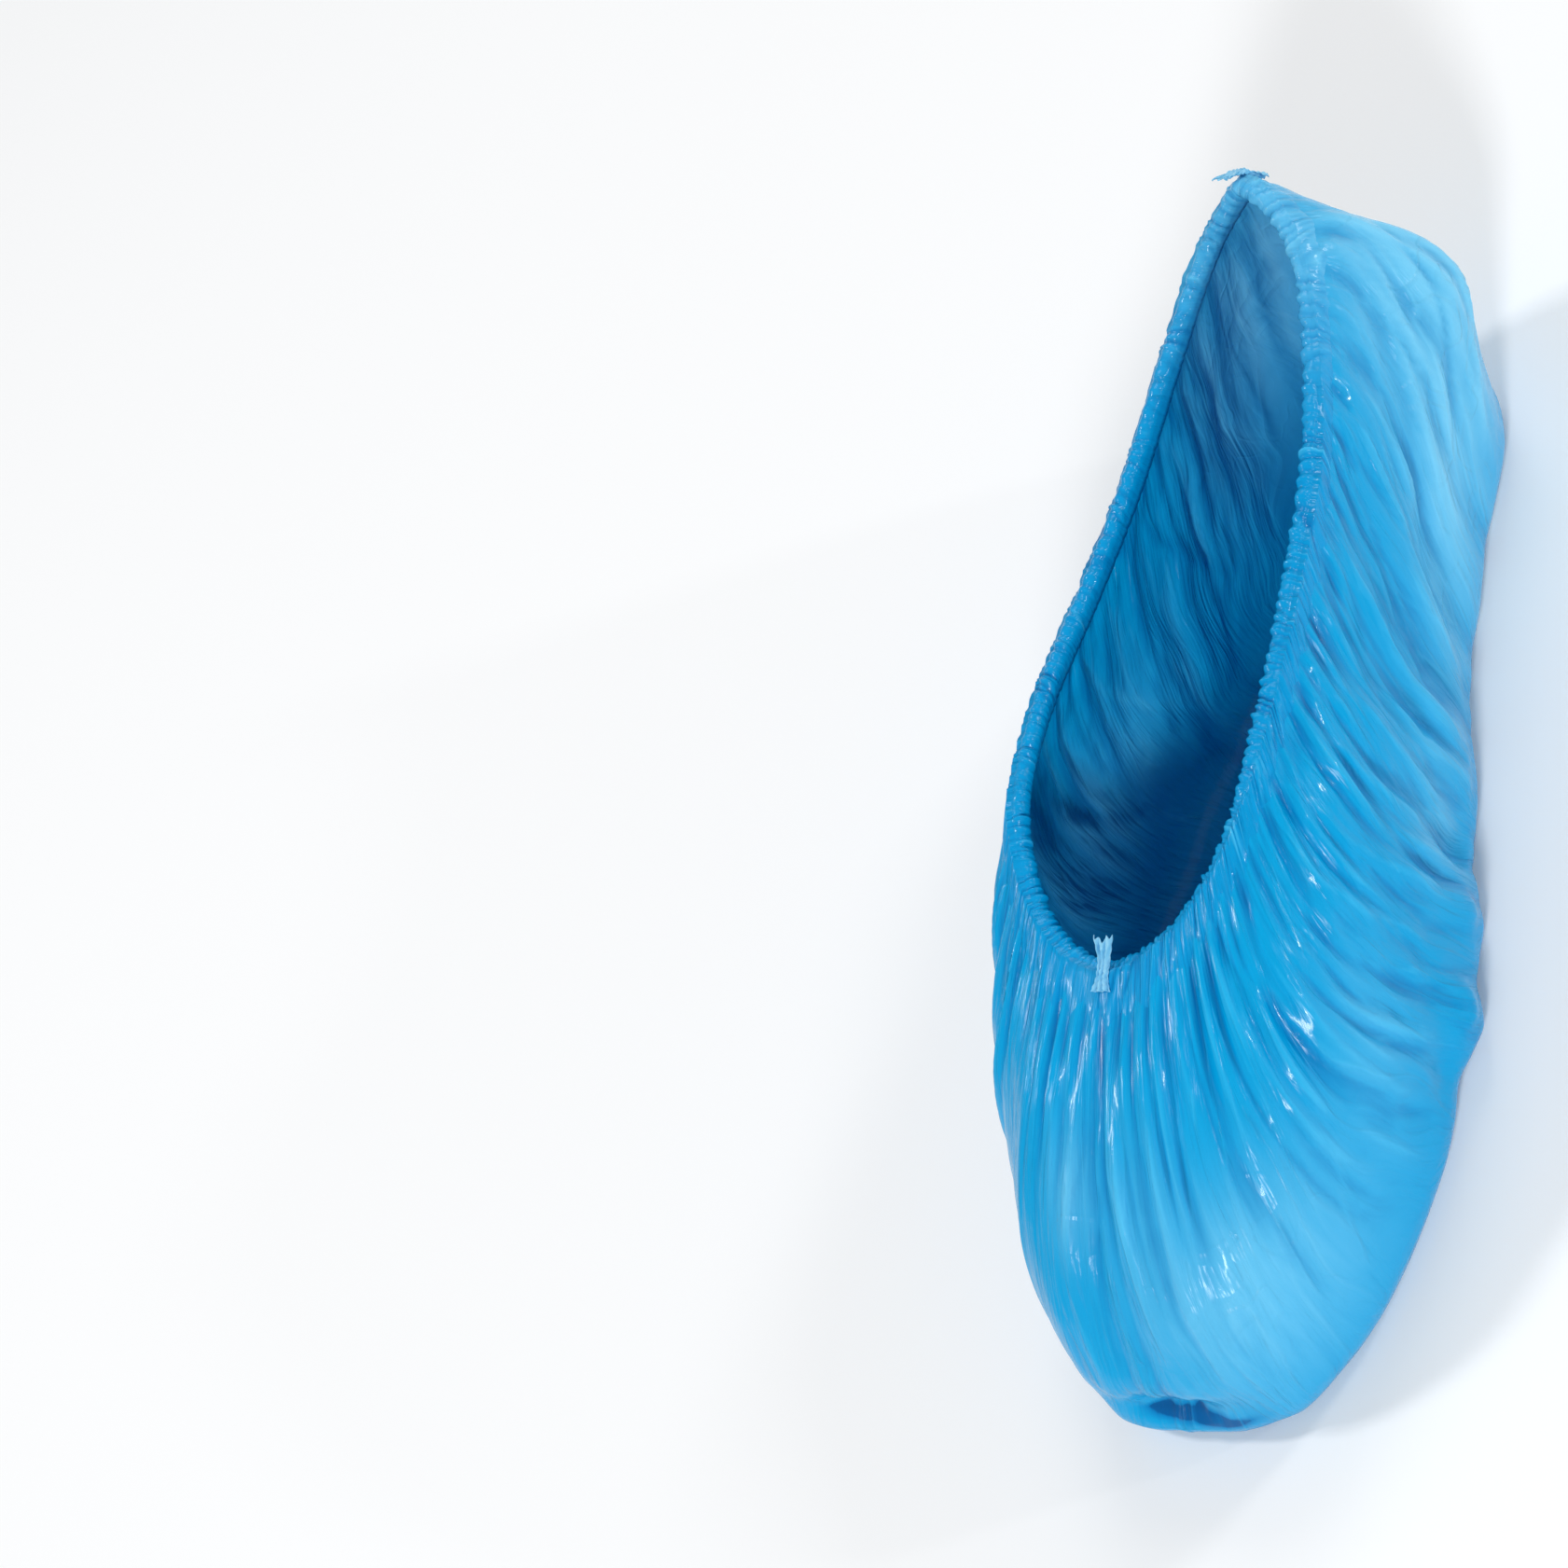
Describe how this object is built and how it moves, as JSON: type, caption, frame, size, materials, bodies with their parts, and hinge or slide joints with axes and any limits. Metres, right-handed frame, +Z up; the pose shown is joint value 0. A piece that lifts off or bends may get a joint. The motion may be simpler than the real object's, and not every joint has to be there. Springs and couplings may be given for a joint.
{
  "type": "disposable shoe cover",
  "caption": "Gathered film bag that goes over a right shoe, with an elastic hem round the open mouth and a welded seam at toe and heel.",
  "frame": {"origin": "on the inside of the sole, about half-way along it, where the shoe stands", "axes": "-Y towards the toe, +Y towards the heel, +X towards the inner side of a right foot, +Z up out of the mouth"},
  "size_m": [0.121, 0.3186, 0.1039],
  "materials": {
    "film": "thin glossy polythene film, creased",
    "hem_film": "folded and ruched film",
    "seam_film": "welded film, whitened by the weld",
    "elastic": "matt thread"
  },
  "bodies": {
    "root": {"film_bag": "film", "rim_hem": "hem_film", "rim_elastic": "elastic", "toe_seam_tail": "seam_film", "heel_seam_tail": "seam_film"}
  },
  "joints": []
}
